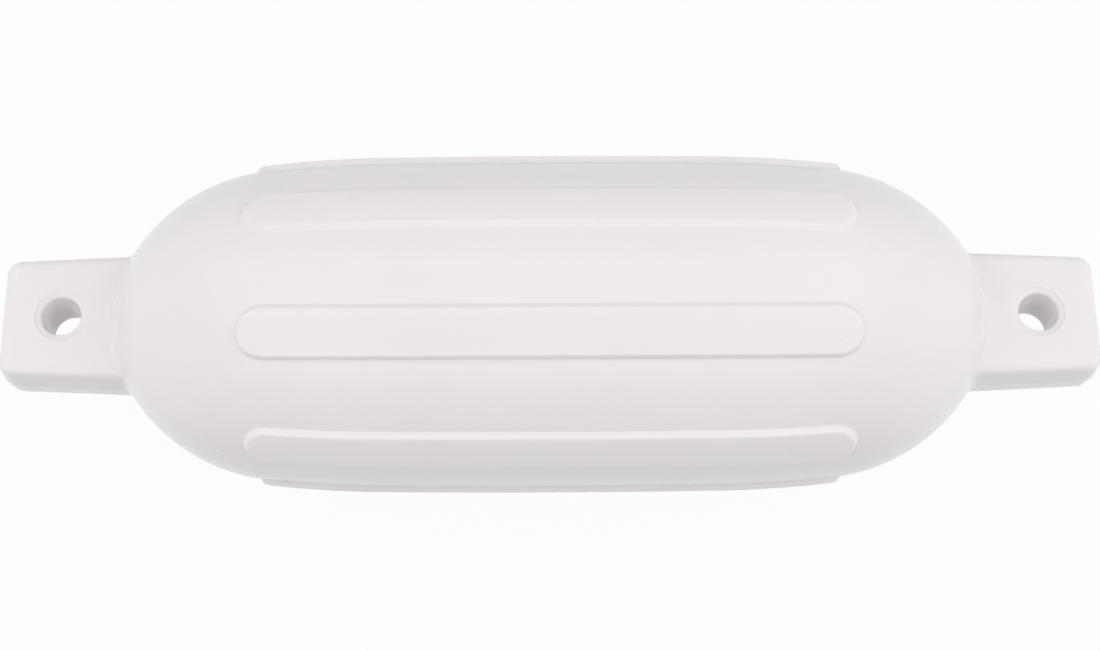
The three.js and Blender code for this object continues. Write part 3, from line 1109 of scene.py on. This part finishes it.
def show_white(
    tree: bpy.types.NodeTree, own: bpy.types.Node, kind: str, output: str, whiteness: float
) -> None:
    """Puts plain white over a shader for the rays that see the backdrop.

    Args:
        tree: The node tree of the floor or the world.
        own: The node of the shader that every other ray meets.
        kind: The kind of node that gives the white.
        output: The name of the tree's output node.
        whiteness: The white's share, from 0 to 1.
    """
    white = tree.nodes.new(kind)
    white.name = "backdrop"
    set_inputs(white, {"Color": (1, 1, 1, 1), "Strength": 1.0})
    share = tree.nodes.new("ShaderNodeMath")
    share.operation = "MULTIPLY"
    share.inputs[1].default_value = whiteness
    tree.links.new(sees_backdrop(tree), share.inputs[0])
    both = tree.nodes.new("ShaderNodeMixShader")
    tree.links.new(share.outputs["Value"], both.inputs["Fac"])
    tree.links.new(own.outputs[0], both.inputs[1])
    tree.links.new(white.outputs[0], both.inputs[2])
    tree.links.new(both.outputs["Shader"], tree.nodes[output].inputs["Surface"])


@dataclass
class Studio:
    """The pale floor, the soft light and the camera."""

    floor_size: float = 14.0
    floor_colour: tuple[float, float, float] = (0.62, 0.62, 0.62)
    floor_roughness: float = 0.9
    floor_whiteness: float = 0.96
    world_light: float = 0.41
    camera_distance: float = 1.227
    camera_sight: float = 100.0
    elevation: float = math.radians(69.8)
    roll: float = math.radians(0.26)
    lens: float = 62.64
    sensor: float = 36.0
    image_width: int = 1100
    shift: tuple[float, float] = (0.15, 0.7)
    lamps: tuple[Softbox, ...] = (
        Softbox("overhead_softbox", (0.0, -0.8, 1.9), (0.0, -0.8, 0.0), (3.4, 2.6), 14.4),
        Softbox("far_softbox", (0.0, 0.6, 1.9), (0.0, 0.6, 0.0), (4.0, 0.8), 6.0),
        Softbox("front_softbox", (0.0, -1.7, 1.6), (0.0, 0.0, 0.1), (2.4, 0.7), 3.5),
        Softbox("left_softbox", (-2.4, 0.0, 1.3), (0.0, 0.0, 0.1), (3.0, 2.3), 24.5, False),
        Softbox("right_softbox", (2.4, 0.0, 1.3), (0.0, 0.0, 0.1), (3.0, 2.3), 28.0, False),
    )

    def lay_floor(self) -> None:
        """Adds the floor, which is white to the camera and keeps the fender's soft shadow."""
        bpy.ops.mesh.primitive_plane_add(size=self.floor_size, location=(0, 0, 0))
        floor = bpy.context.active_object
        floor.name = "floor"
        sketch = NodeSketch("pale_floor")
        paint = {"Base Color": (*self.floor_colour, 1.0), "Roughness": self.floor_roughness}
        set_inputs(sketch.shader, paint)
        tree = sketch.material.node_tree
        whiteness = self.floor_whiteness
        show_white(tree, sketch.shader, "ShaderNodeEmission", "Material Output", whiteness)
        floor.data.materials.append(sketch.material)

    def light(self) -> None:
        """Adds the lamps and the even light from all round."""
        for lamp in self.lamps:
            lamp.hang()
        world = bpy.data.worlds.new("studio")
        world.use_nodes = True
        soft = world.node_tree.nodes["Background"]
        set_inputs(soft, {"Color": (1, 1, 1, 1), "Strength": self.world_light})
        show_white(world.node_tree, soft, "ShaderNodeBackground", "World Output", 1.0)
        bpy.context.scene.world = world
        bpy.context.scene.view_settings.view_transform = "Standard"

    def place_camera(self) -> None:
        """Adds the camera above and in front of the fender, as in the photograph."""
        aim = Vector((0, 0, PROFILE.radius * METRES))
        back = Vector((0, -math.cos(self.elevation), math.sin(self.elevation)))
        bpy.ops.object.camera_add(location=aim + back * self.camera_distance)
        camera = bpy.context.active_object
        camera.name = "camera"
        camera.data.lens = self.lens
        camera.data.sensor_width = self.sensor
        tilt = Matrix.Rotation(math.pi / 2 - self.elevation, 4, "X")
        camera.rotation_euler = (tilt @ Matrix.Rotation(-self.roll, 4, "Z")).to_euler()
        camera.data.shift_x = self.shift[0] / self.image_width
        camera.data.shift_y = -self.shift[1] / self.image_width
        camera.data.clip_end = self.camera_sight
        bpy.context.scene.camera = camera


def dress(piece: bpy.types.Object, node: str, material: bpy.types.Material) -> None:
    """Gives a piece its material and puts it in its CAD node's place.

    Args:
        piece: The finished piece.
        node: The CAD node that it stands for.
        material: The finish.
    """
    piece.data.materials.clear()
    piece.data.materials.append(material)
    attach(piece, "root")
    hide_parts(node)
    LOG.info("%s: %d faces, stands for %s", piece.name, len(piece.data.polygons), node)


def main() -> None:
    """Builds the fender, its valve and the studio."""
    logging.basicConfig(level=logging.INFO, format="%(name)s: %(message)s")
    dress(Fender().build(), "fender_body", SoftVinyl().make())
    seat = PROFILE.angle_at_length(PROFILE.dome_crown - ValvePocket.from_crown)
    valve = InflationValve(seat).build()
    dress(valve, "inflation_valve", ValveRubber().make())
    studio = Studio()
    studio.lay_floor()
    studio.light()
    studio.place_camera()


if __name__ == "__main__":
    main()
